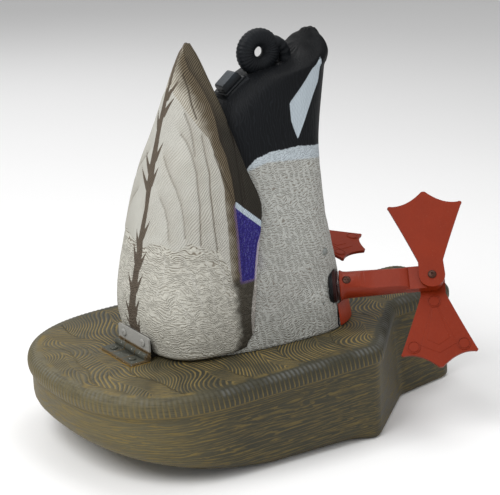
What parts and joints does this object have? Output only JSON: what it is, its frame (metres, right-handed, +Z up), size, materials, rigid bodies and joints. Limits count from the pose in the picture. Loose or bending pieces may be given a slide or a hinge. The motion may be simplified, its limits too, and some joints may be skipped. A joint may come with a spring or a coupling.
{
  "type": "motorized duck decoy",
  "caption": "Tipped-up rear half of a feeding drake hinged to a moulded float, with spinning legs that carry webbed feet beside notches in the float.",
  "frame": {"origin": "on the flat underside of the float, below the middle of the boat", "axes": "+X along the float to its narrow tail, the belly side; -X to the blunt front with the hinge; -Y is the duck's left side; +Z up"},
  "size_m": [0.4077, 0.3405, 0.3456],
  "materials": {
    "float_plastic": "moulded wood grain, dark olive grey rubbed with gold",
    "duck_plastic": "moulded feather relief, painted off white, grey, brown, black and blue",
    "leg_plastic": "brick orange, moulded through",
    "collar_plastic": "dark red",
    "black_rubber": "black rubber",
    "hinge_steel": "plated steel, dulled and rusting at the edges",
    "screw_steel": "dark plated screws"
  },
  "bodies": {
    "float": {"float_base": "float_plastic", "hinge_leaf_float": "hinge_steel", "hinge_pin": "hinge_steel", "hinge_screw_float_1": "screw_steel", "hinge_screw_float_2": "screw_steel"},
    "duck": {"duck_body": "duck_plastic", "belly_apron": "leg_plastic", "hinge_leaf_body": "hinge_steel", "hinge_screw_body_1": "screw_steel", "hinge_screw_body_2": "screw_steel", "switch_base": "black_rubber", "switch_cap": "black_rubber", "left_shaft_seal": "black_rubber", "right_shaft_seal": "black_rubber", "left_flank_plug": "hinge_steel", "right_flank_plug": "hinge_steel"},
    "left_leg_set": {"left_collar": "collar_plastic", "left_leg": "leg_plastic", "left_foot_1": "leg_plastic", "left_foot_2": "leg_plastic", "left_foot_screw": "screw_steel", "left_set_screw": "screw_steel"},
    "right_leg_set": {"right_collar": "collar_plastic", "right_leg": "leg_plastic", "right_foot_1": "leg_plastic", "right_foot_2": "leg_plastic", "right_foot_screw": "screw_steel", "right_set_screw": "screw_steel"}
  },
  "joints": [
    {"name": "body_hinge", "type": "hinge", "parent": "float", "child": "duck", "pos_m": [-0.16347, 0, 0.08311], "axis": [0, -1, 0], "range_deg": [0, 90]},
    {"name": "left_leg_spin", "type": "hinge", "parent": "duck", "child": "left_leg_set", "pos_m": [0.00885, -0.058, 0.12345], "axis": [0.8027, -0.5881, 0.0994], "continuous": true},
    {"name": "right_leg_spin", "type": "hinge", "parent": "duck", "child": "right_leg_set", "pos_m": [0.00885, 0.058, 0.12345], "axis": [0.8027, 0.5881, 0.0994], "continuous": true}
  ]
}
